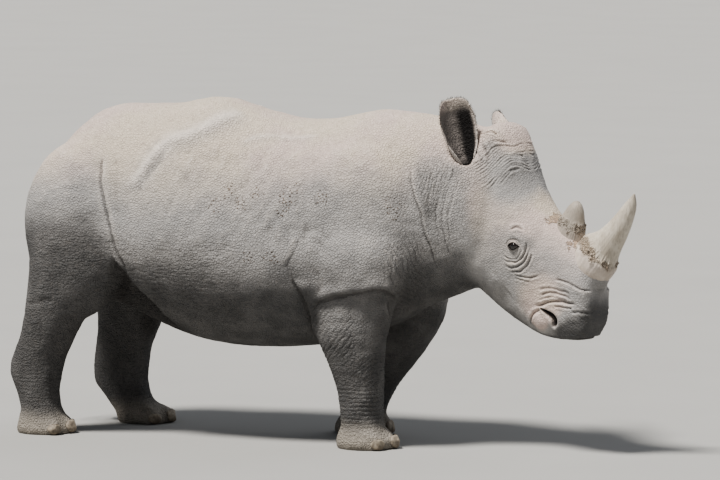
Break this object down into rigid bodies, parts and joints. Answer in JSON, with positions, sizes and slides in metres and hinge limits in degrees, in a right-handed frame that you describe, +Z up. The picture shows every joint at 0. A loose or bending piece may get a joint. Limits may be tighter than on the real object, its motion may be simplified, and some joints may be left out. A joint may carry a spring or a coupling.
{
  "type": "rhinoceros",
  "caption": "Life-size standing rhinoceros with its head low and turned to its right, front legs striding, paired nose horns, curled ears, thin hanging tail and broad nailed feet.",
  "frame": {"origin": "on the floor under the middle of the whole animal's box", "axes": "+X towards the head, +Y to the animal's left, +Z up"},
  "size_m": [3.0146, 0.873, 1.589],
  "materials": {
    "hide": "matt, dry, finely wrinkled grey hide",
    "foot_hide": "matt, dusty, cracked hide",
    "nail": "matt worn toenail",
    "horn": "matt fibrous horn, smoother towards the tip",
    "eye": "wet gloss"
  },
  "bodies": {
    "root": {"trunk": "hide", "neck": "hide", "head": "hide", "tail": "hide", "ear_right": "hide", "ear_left": "hide", "front_leg_right": "hide", "front_foot_right": "foot_hide", "front_nail_right_inner": "nail", "front_nail_right_middle": "nail", "front_nail_right_outer": "nail", "front_leg_left": "hide", "front_foot_left": "foot_hide", "front_nail_left_inner": "nail", "front_nail_left_middle": "nail", "front_nail_left_outer": "nail", "hind_leg_right": "hide", "hind_foot_right": "foot_hide", "hind_nail_right_inner": "nail", "hind_nail_right_middle": "nail", "hind_nail_right_outer": "nail", "hind_leg_left": "hide", "hind_foot_left": "foot_hide", "hind_nail_left_inner": "nail", "hind_nail_left_middle": "nail", "hind_nail_left_outer": "nail", "eye_right": "eye", "eye_left": "eye", "horn_front": "horn", "horn_rear": "horn"}
  },
  "joints": []
}
